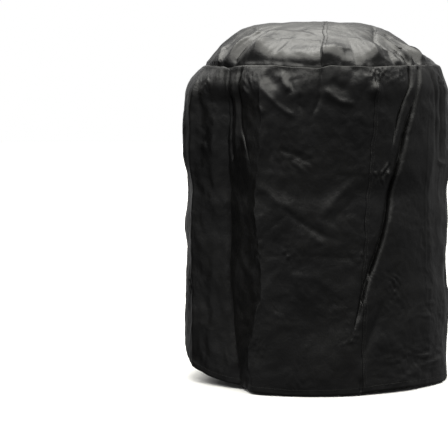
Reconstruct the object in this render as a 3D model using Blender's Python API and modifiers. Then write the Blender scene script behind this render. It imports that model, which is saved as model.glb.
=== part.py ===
"""Round drape cover for a kettle grill.

A slack crown of two half discs is sewn to a skirt of two half-round panels. Binding tape covers the seam
allowances inside, and rows of thread hold the seams and the hem.

Metres, +Z up. The origin is on the ground, under the middle of the hem. The crown's centre seam lies in the
plane X = 0, and -Y is the front.
"""

import math

import bmesh
import bpy

# Driving dimensions
DIAMETER = 0.57
HEIGHT = 0.77
RING_SEAM_HEIGHT = 0.672
RING_SEAM_RADIUS = 0.255
SHOULDER_DROP = 0.065  # below the ring seam the skirt swells to its full width over this height
WAIST_INSET = 0.003  # the skirt draws in this far, half way down
CROWN_FULLNESS = 2.5  # exponents of the crown's dome: higher is flatter on top
CROWN_EDGE = 0.9
FRONT_SEAM_STEPS = 4  # the skirt's front seam is this many facets to the right of the front

CLOTH = 0.002  # coated polyester with its slack folds, as one plain wall
HEM_FOLD = 0.003  # the turned-up hem is thicker
HEM_HEIGHT = 0.012
TAPE = 0.001
TAPE_WIDTH = 0.016
TAPE_GAP = 0.0012  # between a panel's inner face and the tape, at the facets' corners
THREAD_RADIUS = 0.0004
THREAD_GAP = 0.0004
STITCH_INSET = 0.005  # from a seam to its row of stitches
SEAM_GAP = 0.0006  # between panels that are sewn edge to edge

HALF_TURN_FACETS = 32
CROWN_RINGS = 12
SHOULDER_RINGS = 5
SKIRT_RINGS = 5
THREAD_ROUNDNESS = 2
MERGE_WITHIN = 0.0001
SMOOTH_UP_TO = math.radians(40)

FACET = math.pi / HALF_TURN_FACETS
FRONT = -math.pi / 2
FRONT_SEAM = FRONT + FRONT_SEAM_STEPS * FACET
SHOULDER_HEIGHT = RING_SEAM_HEIGHT - SHOULDER_DROP
THREAD_CLEAR = THREAD_GAP + THREAD_RADIUS  # from a panel's face to the middle of a thread
THREAD_PROUD = THREAD_GAP + 2 * THREAD_RADIUS
RADIUS = DIAMETER / 2 - THREAD_PROUD
CROWN_RISE = HEIGHT - THREAD_PROUD - RING_SEAM_HEIGHT
RING_TAPE_TOP = RING_SEAM_HEIGHT - 2 * CLOTH
SEAM_TAPE_TOP = RING_TAPE_TOP - TAPE_WIDTH - 2 * TAPE
SEAM_TAPE_FOOT = 2 * HEM_HEIGHT
SEAM_STITCH_TOP = RING_SEAM_HEIGHT - 3 * STITCH_INSET
SEAM_STITCH_FOOT = 2 * HEM_HEIGHT

# Colours and roughnesses
CLOTH_BLACK = (0.012, 0.012, 0.013, 1.0)
CLOTH_ROUGHNESS = 0.45
TAPE_BLACK = (0.02, 0.02, 0.021, 1.0)
TAPE_ROUGHNESS = 0.8
THREAD_GREY = (0.09, 0.09, 0.088, 1.0)
THREAD_ROUGHNESS = 0.6


def clear_scene():
    for obj in list(bpy.data.objects):
        bpy.data.objects.remove(obj, do_unlink=True)


def make_collection(name):
    collection = bpy.data.collections.new(name)
    bpy.context.scene.collection.children.link(collection)
    return collection


def make_material(name, colour, roughness):
    material = bpy.data.materials.new(name)
    material.use_nodes = True
    shader = material.node_tree.nodes["Principled BSDF"]
    shader.inputs["Base Color"].default_value = colour
    shader.inputs["Roughness"].default_value = roughness
    shader.inputs["Metallic"].default_value = 0.0
    return material


# Profiles: lists of (radius, height), from the top down


def crown_height(radius):
    reach = min(radius / RING_SEAM_RADIUS, 1.0)
    return RING_SEAM_HEIGHT + CROWN_RISE * (1 - reach**CROWN_FULLNESS) ** CROWN_EDGE


def crown_profile():
    """Rings closer together towards the edge, where the dome turns down."""
    points = []
    for ring in range(CROWN_RINGS + 1):
        radius = RING_SEAM_RADIUS * math.sin(math.pi / 2 * ring / CROWN_RINGS)
        points.append((radius, crown_height(radius)))
    return points


def skirt_radius(height):
    drop = RING_SEAM_HEIGHT - height
    if drop < SHOULDER_DROP:
        swell = math.sin(math.pi / 2 * drop / SHOULDER_DROP)
        return RING_SEAM_RADIUS + (RADIUS - RING_SEAM_RADIUS) * swell
    above_hem = max(height - HEM_HEIGHT, 0.0) / (SHOULDER_HEIGHT - HEM_HEIGHT)
    return RADIUS - WAIST_INSET * math.sin(math.pi * above_hem) ** 2


def skirt_heights(top, bottom):
    """Heights of the skirt's rings between top and bottom, both included."""
    straight = SHOULDER_HEIGHT - HEM_HEIGHT
    heights = [top]
    heights += [RING_SEAM_HEIGHT - SHOULDER_DROP * i / SHOULDER_RINGS for i in range(1, SHOULDER_RINGS)]
    heights += [HEM_HEIGHT + straight * i / SKIRT_RINGS for i in range(SKIRT_RINGS, -1, -1)]
    return [height for height in heights if bottom < height <= top] + [bottom]


def skirt_profile(top, bottom):
    return [(skirt_radius(height), height) for height in skirt_heights(top, bottom)]


def offset_profile(points, distance):
    """The profile moved outwards, square to itself."""
    moved = []
    for i, (radius, height) in enumerate(points):
        before = points[max(i - 1, 0)]
        after = points[min(i + 1, len(points) - 1)]
        along = (after[0] - before[0], after[1] - before[1])
        length = math.hypot(*along)
        moved.append((radius - along[1] / length * distance, height + along[0] / length * distance))
    return moved


# Shapes


def new_object(name, data, material, collection):
    obj = bpy.data.objects.new(name, data)
    obj.data.materials.append(material)
    collection.objects.link(obj)
    return obj


def line_mesh(name, points):
    mesh = bpy.data.meshes.new(name)
    bm = bmesh.new()
    corners = [bm.verts.new(point) for point in points]
    for start, end in zip(corners, corners[1:]):
        bm.edges.new((start, end))
    bm.to_mesh(mesh)
    bm.free()
    return mesh


def solidify(obj, thickness):
    """The drawn surface is the outer face, and the thickness goes inwards."""
    shell = obj.modifiers.new("shell", "SOLIDIFY")
    shell.thickness = thickness
    shell.offset = -1.0
    return shell


def smooth(obj):
    obj.data.shade_smooth()
    obj.data.set_sharp_from_angle(angle=SMOOTH_UP_TO)


def turned_shell(name, profile, start, turn, facets, thickness, material, collection):
    """A wall turned about Z from the profile, from the angle start through the angle turn."""
    mesh = line_mesh(name, [(radius, 0.0, height) for radius, height in profile])
    obj = new_object(name, mesh, material, collection)
    obj.rotation_euler.z = start
    screw = obj.modifiers.new("turn", "SCREW")
    screw.angle = turn
    screw.steps = facets
    screw.render_steps = facets
    screw.use_merge_vertices = True
    screw.merge_threshold = MERGE_WITHIN
    screw.use_smooth_shade = True
    solidify(obj, thickness)
    return obj


def half_shell(name, profile, start, material, collection):
    """Half of a turned wall, moved half a seam gap away from the other half."""
    obj = turned_shell(name, profile, start, math.pi, HALF_TURN_FACETS, CLOTH, material, collection)
    middle = start + math.pi / 2
    obj.location.x = math.cos(middle) * SEAM_GAP / 2
    obj.location.y = math.sin(middle) * SEAM_GAP / 2
    return obj


def thicken_hem(panel):
    """The hem's double fold: the lowest rings take the full thickness, and the rest their share."""
    group = panel.vertex_groups.new(name="thickness")
    for corner in panel.data.vertices:
        share = 1.0 if corner.co.z < HEM_HEIGHT / 2 else CLOTH / HEM_FOLD
        group.add([corner.index], share, "REPLACE")
    shell = panel.modifiers["shell"]
    shell.thickness = HEM_FOLD
    shell.vertex_group = group.name


def strip(name, profile, angle, material, collection):
    """A tape along a profile in the upright plane at this angle, half its width to each side."""
    mesh = line_mesh(name, [(radius, -TAPE_WIDTH / 2, height) for radius, height in profile])
    bm = bmesh.new()
    bm.from_mesh(mesh)
    made = bmesh.ops.extrude_edge_only(bm, edges=bm.edges[:])
    far_side = [item for item in made["geom"] if isinstance(item, bmesh.types.BMVert)]
    bmesh.ops.translate(bm, verts=far_side, vec=(0.0, TAPE_WIDTH, 0.0))
    bm.normal_update()
    outwards = sum(face.calc_area() * (face.normal.x + face.normal.z) for face in bm.faces)
    if outwards < 0:
        bmesh.ops.reverse_faces(bm, faces=bm.faces[:])
    bm.to_mesh(mesh)
    bm.free()
    obj = new_object(name, mesh, material, collection)
    obj.rotation_euler.z = angle
    solidify(obj, TAPE)
    smooth(obj)
    return obj


def thread(name, points, cyclic, material, collection):
    curve = bpy.data.curves.new(name, "CURVE")
    curve.dimensions = "3D"
    curve.bevel_depth = THREAD_RADIUS
    curve.bevel_resolution = THREAD_ROUNDNESS
    curve.use_fill_caps = not cyclic
    spline = curve.splines.new("POLY")
    spline.points.add(len(points) - 1)
    for slot, point in zip(spline.points, points):
        slot.co = (*point, 1.0)
    spline.use_cyclic_u = cyclic
    return new_object(name, curve, material, collection)


def turned_point(radius, height, angle, sideways=0.0):
    """A point of a profile turned to this angle, moved sideways along the wall."""
    x = radius * math.cos(angle) - sideways * math.sin(angle)
    y = radius * math.sin(angle) + sideways * math.cos(angle)
    return (x, y, height)


# Sub-parts


def crown_panels(cloth, collection):
    profile = crown_profile()
    edge_radius, edge_height = profile[-1]
    profile[-1] = (edge_radius, edge_height + SEAM_GAP)
    half_shell("crown_panel_right", profile, FRONT, cloth, collection)
    half_shell("crown_panel_left", profile, FRONT + math.pi, cloth, collection)


def skirt_panels(cloth, collection):
    profile = skirt_profile(RING_SEAM_HEIGHT - SEAM_GAP, 0.0)
    for name, start in (("skirt_panel_right", FRONT_SEAM), ("skirt_panel_left", FRONT_SEAM + math.pi)):
        thicken_hem(half_shell(name, profile, start, cloth, collection))


def crown_bindings(tape, collection):
    """The tape under the centre seam, over the dome from front to back, and the ring under the ring seam."""
    inner = offset_profile(crown_profile()[:-1], -(CLOTH + TAPE_GAP))
    inner[0] = (0.0, crown_height(0.0) - CLOTH - TAPE_GAP)
    over_the_dome = [(-radius, height) for radius, height in reversed(inner[1:])] + inner
    strip("crown_centre_binding", over_the_dome, FRONT, tape, collection)
    ring = skirt_profile(RING_TAPE_TOP, RING_TAPE_TOP - TAPE_WIDTH)
    ring = offset_profile(ring, -(CLOTH + TAPE_GAP))
    turned_shell(
        "crown_ring_binding", ring, FRONT, 2 * math.pi, 2 * HALF_TURN_FACETS, TAPE, tape, collection
    )


def skirt_bindings(tape, collection):
    profile = offset_profile(skirt_profile(SEAM_TAPE_TOP, SEAM_TAPE_FOOT), -(CLOTH + TAPE_GAP))
    strip("skirt_front_seam_binding", profile, FRONT_SEAM, tape, collection)
    strip("skirt_back_seam_binding", profile, FRONT_SEAM + math.pi, tape, collection)


def crown_stitching(thread_material, collection):
    outer = offset_profile(crown_profile(), THREAD_CLEAR)[1:]
    front = [turned_point(radius, height, FRONT, STITCH_INSET) for radius, height in reversed(outer)]
    back = [turned_point(radius, height, -FRONT, -STITCH_INSET) for radius, height in outer]
    top = (STITCH_INSET, 0.0, HEIGHT - THREAD_RADIUS)
    thread("crown_centre_stitching", [*front, top, *back], False, thread_material, collection)


def ring_stitching(name, height, thread_material, collection):
    """A row of stitches all round the skirt."""
    radius = skirt_radius(height) + THREAD_CLEAR
    angles = [FRONT + step * FACET for step in range(2 * HALF_TURN_FACETS)]
    points = [turned_point(radius, height, angle) for angle in angles]
    thread(name, points, True, thread_material, collection)


def skirt_seam_stitching(thread_material, collection):
    profile = offset_profile(skirt_profile(SEAM_STITCH_TOP, SEAM_STITCH_FOOT), THREAD_CLEAR)
    for side, angle in (("front", FRONT_SEAM), ("back", FRONT_SEAM + math.pi)):
        points = [turned_point(radius, height, angle, STITCH_INSET) for radius, height in profile]
        thread(f"skirt_{side}_seam_stitching", points, False, thread_material, collection)


def build():
    clear_scene()
    collection = make_collection("grill_cover")
    cloth = make_material("coated_cloth", CLOTH_BLACK, CLOTH_ROUGHNESS)
    tape = make_material("binding_tape", TAPE_BLACK, TAPE_ROUGHNESS)
    sewing = make_material("sewing_thread", THREAD_GREY, THREAD_ROUGHNESS)
    crown_panels(cloth, collection)
    skirt_panels(cloth, collection)
    crown_bindings(tape, collection)
    skirt_bindings(tape, collection)
    crown_stitching(sewing, collection)
    ring_stitching("crown_ring_stitching", RING_SEAM_HEIGHT - STITCH_INSET, sewing, collection)
    ring_stitching("hem_stitching", HEM_HEIGHT, sewing, collection)
    skirt_seam_stitching(sewing, collection)


build()
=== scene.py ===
"""The looks of the grill cover: slack, creased, coated cloth with its seams, stitches and hem.

The cover is one surface, worked out on two grids: the skirt by turn and height, and the crown by turn and
distance in from the ring seam. Folds are put on it one by one, and the grids are then cut into the sewn
panels.
A turn is measured from the front (-Y), positive to the right (+X).
"""

import math

import bmesh
import bpy
import numpy as np
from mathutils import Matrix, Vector


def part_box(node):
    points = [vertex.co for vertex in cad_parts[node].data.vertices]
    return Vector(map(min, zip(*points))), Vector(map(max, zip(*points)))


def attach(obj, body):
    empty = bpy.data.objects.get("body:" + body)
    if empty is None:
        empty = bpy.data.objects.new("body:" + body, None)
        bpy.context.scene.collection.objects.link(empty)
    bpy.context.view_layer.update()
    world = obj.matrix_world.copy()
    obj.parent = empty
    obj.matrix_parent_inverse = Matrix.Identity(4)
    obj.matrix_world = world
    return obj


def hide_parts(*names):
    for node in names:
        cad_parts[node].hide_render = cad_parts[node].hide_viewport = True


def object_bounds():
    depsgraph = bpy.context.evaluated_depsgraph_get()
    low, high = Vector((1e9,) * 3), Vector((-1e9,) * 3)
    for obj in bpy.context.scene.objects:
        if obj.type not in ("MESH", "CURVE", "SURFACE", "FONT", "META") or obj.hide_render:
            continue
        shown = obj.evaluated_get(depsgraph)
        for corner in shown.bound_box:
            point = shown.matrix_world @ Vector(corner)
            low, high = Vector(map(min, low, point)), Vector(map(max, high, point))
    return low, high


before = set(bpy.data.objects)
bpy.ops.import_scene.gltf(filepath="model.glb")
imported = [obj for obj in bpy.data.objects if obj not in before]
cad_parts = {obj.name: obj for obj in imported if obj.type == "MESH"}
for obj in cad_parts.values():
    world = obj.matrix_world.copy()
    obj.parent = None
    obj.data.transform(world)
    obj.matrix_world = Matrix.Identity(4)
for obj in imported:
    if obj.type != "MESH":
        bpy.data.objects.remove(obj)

UV = "cloth"

# ---- places taken from the CAD frame

CAD_LOW, CAD_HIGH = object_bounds()
RING_LOW, RING_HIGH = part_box("crown_ring_stitching")
RING_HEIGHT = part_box("skirt_panel_left")[1].z
RING_RADIUS = (RING_HIGH.x - RING_LOW.x) / 2 - 0.004
SKIRT_RADIUS = (CAD_HIGH.x - CAD_LOW.x) / 2 - 0.003
CROWN_RISE = CAD_HIGH.z - RING_HEIGHT - 0.006
FRONT_SEAM = math.radians(22.5)

# ---- the cloth and its grids

CLOTH = 0.0005
SKIRT_COLUMNS = 250  # in each half, between the seams' own columns
SKIRT_ROWS = 166
CROWN_COLUMNS = 300
CROWN_ROWS = 104
RIM_CROWDING = 1.7  # the crown's rows crowd towards the ring seam, where it stands up steeply
SHOULDER = 0.062  # height over which the skirt swells out below the ring seam
WAIST = 0.004
FLATNESS = 0.005  # the most that the skirt lies in between two ridges
HEM_GAP = 0.0018  # between the skirt's outer face and the hem's turned-up inner layer
HEM_ROWS = 4
TUCK = 0.0016  # how far a seam's edges turn inside
RING_SHIFT = 0.0125  # the crown hangs a little to the right
RING_DEEPER = 0.016  # and reaches further to the front and the back than to the sides
CROWN_SLIP = 0.014  # its middle more so
LEDGE = 0.0016  # the skirt's top edge stands out from the crown's by this much
RING_ROWS = (0, 0.0011, 0.0024, 0.0042, 0.0068)  # the skirt's first rows, in metres below the ring seam
FULLNESS, EDGE = 2.7, 0.95  # the dome's exponents

# ---- seams, tapes and threads

# Extra columns beside each seam, in metres from it: the groove, and the band of the felled allowance
SEAM_COLUMNS = (
    -0.012, -0.0108, -0.0097, -0.0085, -0.0073, -0.0062, -0.005, -0.0039, -0.0028, -0.0019, -0.0012, -0.0006,
    0.0, 0.0008, 0.0016, 0.0025, 0.0035, 0.0046, 0.0057, 0.0068, 0.0078, 0.0086, 0.0094, 0.0104, 0.0117,
    0.013,
)
SEAM = SEAM_COLUMNS.index(0.0)
STITCHED = {"inner": SEAM_COLUMNS.index(0.0025) - SEAM, "outer": SEAM_COLUMNS.index(0.0078) - SEAM}
TAPED = np.arange(SEAM_COLUMNS.index(-0.0085), SEAM_COLUMNS.index(0.0094) + 1) - SEAM
BAND = 0.0092  # width of the felled allowance
BAND_RISE = 0.0005
GROOVE = 0.0004
TAPE = 0.0008
TAPE_WIDTH = 0.016
TAPE_DEPTH = 0.0034  # of the binding tapes, below the outer face
SEAM_TAPE_ROWS = slice(10, -8)
RING_TAPE_ROWS = slice(3, 9)
THREAD = 0.0004
STITCH_PITCH = 0.004
STITCH_REACH = 0.36  # of the pitch, from a stitch's middle to each end
SEAM_STITCHES_FROM = 5  # the rows above are gathered into the ring seam
CENTRE_STITCHES_FROM = 0.008  # from the rim, in metres
RING_STITCH_ROW = 3.3
HEM_STITCH_ROW = SKIRT_ROWS - 2.9

# ---- camera and light

CAMERA_DISTANCE = 4.0
CAMERA_TURN, CAMERA_HEADING, CAMERA_DIP = -2.4, 2.83, 4.893  # degrees; the heading is off the middle
CAMERA_LENS = 148.4
ROOM_LOW, ROOM_HIGH, TENT_LIGHT = 0.09, 0.29, 3.3  # light from below, from above, and what the tent adds
TENT_EDGE = (0.44, 0.82)
BACK_LIGHT, SIDE_LIGHT, SIDE_TURN = 0.35, 0.08, -70
FLAG_TURN = -114  # a black flag, which keeps the light off at the left of the front
FLAG_EDGE = (0.86, 0.95)
FLOOR_REACH = 12.0

# ---- how the cloth hangs

# Turn in degrees and height in millimetres of the hem: it hangs unevenly
HEM_LINE = [
    (-160, 14), (-130, 32), (-112, 56), (-98, 72), (-90, 74), (-84, 64), (-78, 50), (-72, 39), (-66, 29),
    (-60, 21), (-54, 15), (-47, 11), (-39, 8), (-28, 4), (-13, 1), (0, 1), (15, 3), (25, 6), (40, 8),
    (64, 3), (80, 1), (110, 4), (150, 10),
]
# Turn in degrees and height in millimetres that the ring seam is pulled up or sags
RING_SAG = [
    (-150, 0), (-120, -6), (-100, 1), (-62, 1), (-54, -2), (-50, -5), (-45, -2), (-38, 1), (-24, 2),
    (-5, -2), (0, -3), (4, 1), (30, 0), (70, 3), (110, -4), (135, 0),
]
# Turn in degrees and height in millimetres that the crown stands up from the ring seam before it turns over
RIM_STAND = [
    (-180, 12), (-165, 30), (-152, 4), (-140, 18), (-128, 26), (-118, 6), (-104, 16), (-92, 3), (-74, 2),
    (-71.2, 6), (-56, 4), (-50.5, 26), (-45.4, 1), (-33.7, 34), (-28.1, 22), (-23.6, 14), (-12.7, 17),
    (-4.1, 15), (-0.5, 17), (0.8, 29), (5.4, 22), (11.6, 9), (15.7, 3), (21.8, 15), (26.3, 28), (31.7, 10),
    (34.7, 2), (37.1, 5), (39.5, 1), (44.7, 2), (47, 15), (49.2, 2), (53.4, 6), (57.2, 21), (62, 10),
    (76, 3), (92, 8), (101, 14), (112, 6), (124, 12), (135, 28), (146, 4), (158, 20), (170, 6),
]
# The long folds that the skirt's columns crowd along, as turn in degrees and height in metres
LEFT_TUCK = ((-47, 0.662), (-46.4, 0.587), (-46, 0.516), (-45.7, 0.471))
MIDDLE_TUCK = ((-39.4, 0.672), (-39, 0.607), (-38, 0.546), (-35.8, 0.518), (-30.9, 0.468))
VALLEY = ((-25.5, 0.64), (-26, 0.56), (-26, 0.505), (-27.2, 0.455), (-28.8, 0.41), (-29.3, 0.378),
          (-28.3, 0.345), (-26.9, 0.31), (-25.5, 0.24), (-25.5, 0.193), (-27.8, 0.136), (-30.6, 0.087),
          (-31.1, 0.056), (-29.1, 0.004))
SHORT_SLANT = ((43.3, 0.675), (42.2, 0.64), (38.5, 0.602), (35.8, 0.567), (33.5, 0.527), (31.3, 0.488))
LONG_SLANT = ((49.8, 0.675), (47.2, 0.632), (44, 0.587), (40.4, 0.537), (37.6, 0.488), (34.7, 0.441),
              (31.1, 0.369), (28, 0.318), (24, 0.27), (20.1, 0.226), (16.9, 0.172), (14.8, 0.143),
              (13.6, 0.114))
HOLLOW = ((-48, 0.64), (-49, 0.6), (-48.6, 0.499), (-49, 0.444), (-49.4, 0.375), (-48.8, 0.307),
          (-48.4, 0.236), (-47.2, 0.189), (-45.4, 0.127), (-42.6, 0.065), (-40.4, 0.0))
GUIDES = (LEFT_TUCK, MIDDLE_TUCK, VALLEY, HOLLOW, SHORT_SLANT, LONG_SLANT)
# Lines between which the slack cloth hangs flat, each with how far in it lies there
HANG = (
    (HOLLOW, 0.034), (VALLEY, -0.002), (LONG_SLANT, 0.004),
    (((-71, 0.6), (-70, 0.3), (-69, 0)), -0.004), (((-11, 0.6), (-9, 0.4), (-7, 0.2), (-10, 0)), 0.003),
    (((63, 0.6), (57, 0.4), (61, 0.2), (54, 0)), 0.001), (((86, 0.6), (84, 0.2), (85, 0)), -0.007),
    (((104, 0.6), (105, 0.3), (108, 0)), 0.004), (((121, 0.6), (117, 0.3), (119, 0)), 0.018),
    (((141, 0.6), (144, 0.2), (140, 0)), 0), (((165, 0.6), (160, 0.3), (166, 0)), 0.009),
    (((186, 0.6), (189, 0.3), (184, 0)), 0), (((208, 0.6), (211, 0.2), (207, 0)), 0.02),
    (((231, 0.6), (228, 0.3), (233, 0)), 0), (((252, 0.6), (256, 0.3), (250, 0)), 0.01),
    (((272, 0.6), (273, 0.2), (272, 0)), 0),
)


def by_turn(pairs, turn):
    """The metres at each turn, read from pairs of degrees and millimetres round the full circle."""
    at_degrees, millimetres = np.array(pairs).T
    return np.interp(np.degrees(turn), at_degrees, millimetres / 1000, period=360)


def smoothstep(share):
    share = np.clip(share, 0, 1)
    return share * share * (3 - 2 * share)


# ---- noise


def noise(points, seed):
    """Smooth gradient noise at an array of 3-D points, about -0.6 to 0.6."""
    rng = np.random.default_rng(seed)
    size = 256
    table = rng.permutation(size)
    gradients = rng.normal(size=(size, 3))
    gradients /= np.linalg.norm(gradients, axis=1, keepdims=True)
    cell = np.floor(points).astype(np.int64)
    inside = points - cell
    fade = inside**3 * (inside * (inside * 6 - 15) + 10)
    total = np.zeros(len(points))
    for corner in np.ndindex(2, 2, 2):
        place = cell + corner
        slot = table[(table[(table[place[:, 0] % size] + place[:, 1]) % size] + place[:, 2]) % size]
        share = np.prod(np.where(corner, fade, 1 - fade), axis=1)
        total += share * np.einsum("ij,ij->i", gradients[slot], inside - corner)
    return total


def crumpled(points, grain, seed):
    """Creased noise about 0 to 1: flat facets that meet in sharp valleys, at this grain in metres."""
    scaled = points / grain
    warp = np.stack([noise(scaled * 0.6 + 11 * axis, seed + axis) for axis in (1, 2, 3)], axis=1)
    scaled = scaled + 0.9 * warp
    valleys = np.sqrt(noise(scaled, seed) ** 2 + 0.0006)
    finer = np.sqrt(noise(scaled * 2.1, seed + 5) ** 2 + 0.0006)
    return 2.2 * valleys + 0.9 * finer


# ---- folds


def smooth_path(points, steps=8):
    """A Catmull-Rom line through the points."""
    points = np.array(points, float)
    ends = np.vstack([2 * points[0] - points[1], points, 2 * points[-1] - points[-2]])
    line = []
    for before, start, end, after in zip(ends, ends[1:], ends[2:], ends[3:]):
        for t in np.arange(steps) / steps:
            slope = end - before
            bend = 2 * before - 5 * start + 4 * end - after
            turn = 3 * start - before - 3 * end + after
            line.append(0.5 * (2 * start + slope * t + bend * t**2 + turn * t**3))
    line.append(points[-1])
    return np.array(line)


GUIDE_LINES = [smooth_path(guide)[::-1].T for guide in GUIDES]


class Relief:
    """Heights added to a surface, drawn in flat coordinates on it: across and up, in metres."""

    def __init__(self, across, up, solid_points, girth=None):
        self.shape = across.shape
        self.across, self.up = across.ravel(), up.ravel()
        self.points = solid_points.reshape(-1, 3)
        self.girth = girth
        self.height = np.zeros(across.size)

    def _from(self, centre):
        """Offsets of every point from this one, the short way round."""
        across = self.across - centre[0]
        if self.girth:
            across = (across + self.girth / 2) % self.girth - self.girth / 2
        return across, self.up - centre[1]

    def _along(self, path, reach, fade):
        """The points near a smooth path: which, how far from it, on which side, and how strongly it acts."""
        line = smooth_path(path)
        middle = line.mean(axis=0)
        across, up = self._from(middle)
        line = line - middle
        low, high = line.min(axis=0) - reach, line.max(axis=0) + reach
        near = np.flatnonzero((across > low[0]) & (across < high[0]) & (up > low[1]) & (up < high[1]))
        at = np.stack([across[near], up[near]], axis=1)
        best = np.full(len(near), np.inf)
        signed, along = np.zeros(len(near)), np.zeros(len(near))
        lengths = np.linalg.norm(np.diff(line, axis=0), axis=1)
        done = 0.0
        for start, end, length in zip(line, line[1:], lengths):
            way = (end - start) / length
            offset = at - start
            t = np.clip(offset @ way, 0, length)
            gap = offset - t[:, None] * way
            distance = np.hypot(gap[:, 0], gap[:, 1])
            closer = distance < best
            side = np.sign(offset[:, 0] * way[1] - offset[:, 1] * way[0])
            best = np.where(closer, distance, best)
            signed = np.where(closer, side * distance, signed)
            along = np.where(closer, done + t, along)
            done += length
        share = along / lengths.sum()
        strength = smoothstep(share / max(fade[0], 1e-6)) * smoothstep((1 - share) / max(fade[1], 1e-6))
        return near, best, signed, strength

    def fold(self, path, height, width, crisp=0.0015, step=0.0, fade=(0.2, 0.2)):
        """A ridge or, with a negative height, a crease along the path; step raises the right of its way."""
        near, distance, signed, strength = self._along(path, 5 * width + crisp, fade)
        soft = np.exp(-(np.sqrt(distance**2 + crisp**2) - crisp) / width - (distance / (3 * width)) ** 2)
        cross = np.tanh(signed / max(crisp, 0.0005)) * soft
        self.height[near] += strength * (height * soft + step * cross)

    def valley(self, path, depth, left, right, fade=(0.2, 0.2)):
        """A deep hollow along the path, with its own steepness on each side."""
        near, distance, signed, strength = self._along(path, 3 * max(left, right), fade)
        width = np.where(signed < 0, left, right)
        self.height[near] -= strength * depth * np.exp(-((distance / width) ** 2))

    def bulge(self, centre, size, height, lean=0.0):
        """A soft swelling; lean turns its long side, in degrees."""
        across, up = self._from(centre)
        c, s = math.cos(math.radians(lean)), math.sin(math.radians(lean))
        long_way, short_way = across * c + up * s, up * c - across * s
        self.height += height * np.exp(-((long_way / size[0]) ** 2) - (short_way / size[1]) ** 2)

    def crumple(self, centre, size, height, grain, seed, stretch=(1, 1, 1)):
        """A patch of small sharp wrinkles; a large third stretch lays them level."""
        across, up = self._from(centre)
        inside = np.exp(-((across / size[0]) ** 2) - (up / size[1]) ** 2)
        near = np.flatnonzero(inside > 0.02)
        creased = crumpled(self.points[near] * stretch, grain, seed)
        self.height[near] += height * inside[near] * (creased - 0.4)

    def all_over(self, height, grain, seed, stretch=(1, 1, 1), creased=False, patch=0.0):
        """Relief of one grain everywhere, or in patches of about this size."""
        scaled = self.points * np.array(stretch)
        amount = smoothstep(0.4 + 1.8 * noise(self.points / patch, seed + 40)) if patch else 1
        if creased:
            self.height += height * amount * (crumpled(scaled, grain, seed) - 0.4)
        else:
            self.height += height * amount * noise(scaled / grain, seed)

    def grid(self):
        return self.height.reshape(self.shape)


def normals_of(points):
    """Unit normals of a grid whose columns run to the right and whose rows run down, as seen from outside."""
    normal = np.cross(np.gradient(points, axis=0), np.gradient(points, axis=1))
    return normal / np.maximum(np.linalg.norm(normal, axis=2, keepdims=True), 1e-12)


def normals_round(points):
    """Normals of a grid whose last column meets its first."""
    looped = np.concatenate([points[:, -1:], points, points[:, :1]], axis=1)
    return normals_of(looped)[:, 1:-1]


def puckered(places, seed):
    """How far a seam's stitches pull the cloth out of line, along a grid of 3-D places."""
    return 0.0007 * noise(places.reshape(-1, 3), seed).reshape(places.shape[:-1])


def felled(offset, pucker):
    """A felled seam's relief at each distance to the right of it: its groove and its flat raised band."""
    band = smoothstep((offset - 0.0002) / 0.0008) * smoothstep((BAND + 0.0008 - offset) / 0.0008)
    groove = np.exp(-((offset / 0.0011) ** 2))
    beside = np.exp(-((offset / 0.016) ** 2))
    return BAND_RISE * band - GROOVE * groove + pucker * beside


# ---- the skirt


def wrapped(turn):
    return (turn + math.pi) % (2 * math.pi) - math.pi


def at(degrees, height):
    """A place on the skirt, in a fold's flat coordinates."""
    return (math.radians(degrees) * SKIRT_RADIUS, height)


def path(*places):
    return [at(*place) for place in places]


def leant(around, height):
    """The turn of each place round from the front seam: beside it the cloth hangs at a slight slant."""
    lean = 1.0 - 5.0 * smoothstep((1 - height / RING_HEIGHT) * 1.4)
    lean = lean + 0.25 * np.sin(height / 0.021) + 0.2 * np.sin(height / 0.0083)
    nearness = np.cos(np.clip(np.abs(wrapped(around)) / math.radians(60), 0, 1) * math.pi / 2) ** 2
    return FRONT_SEAM + around + np.radians(lean) * nearness


def crowded(start, stop, count, height):
    """Places between two, round from the front seam: closer together at the front and along long folds."""
    fine = np.linspace(start, stop, 4000)
    turn = np.degrees(wrapped(leant(fine, height)))
    weight = 1 + 1.5 * np.exp(-(((turn + 5) / 82) ** 4))
    for degrees, heights in GUIDE_LINES:
        present = smoothstep((height - heights[0] + 0.02) / 0.03)
        present = present * smoothstep((heights[-1] - height + 0.02) / 0.03)
        weight += 9 * present * np.exp(-(((turn - np.interp(height, heights, degrees)) / 0.9) ** 2))
    reached = np.concatenate([[0], np.cumsum((weight[1:] + weight[:-1]) / 2)])
    return np.interp(np.linspace(0, reached[-1], count + 2)[1:-1], reached, fine)


def skirt_places(heights):
    """Each row's places once round from the front seam, and their distance from the nearer seam."""
    beside = np.array(SEAM_COLUMNS) / SKIRT_RADIUS
    rows = []
    for height in heights:
        row = []
        for start in (0, math.pi):
            inner = crowded(start + beside[-1], start + math.pi + beside[0], SKIRT_COLUMNS, height)
            row += [start + beside[SEAM:], inner, start + math.pi + beside[:SEAM]]
        rows.append(np.concatenate(row))
    around = np.array(rows)
    return around, ((around + math.pi / 2) % math.pi - math.pi / 2) * SKIRT_RADIUS


def ring_line(turn):
    """Radius and height of the ring seam at each turn: nearly round and level."""
    circle = np.stack([np.cos(turn), np.sin(turn), np.zeros_like(turn)], axis=-1).reshape(-1, 3)
    radius = RING_RADIUS - 0.003 + RING_SHIFT * circle[:, 1] + 0.0012 * noise(circle * 14, 22)
    radius += RING_DEEPER * circle[:, 0] ** 4
    height = RING_HEIGHT + 0.003 * noise(circle * 2.1, 23) + 0.003 * noise(circle * 7, 24)
    return radius.reshape(turn.shape), height.reshape(turn.shape) + by_turn(RING_SAG, turn)


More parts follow.
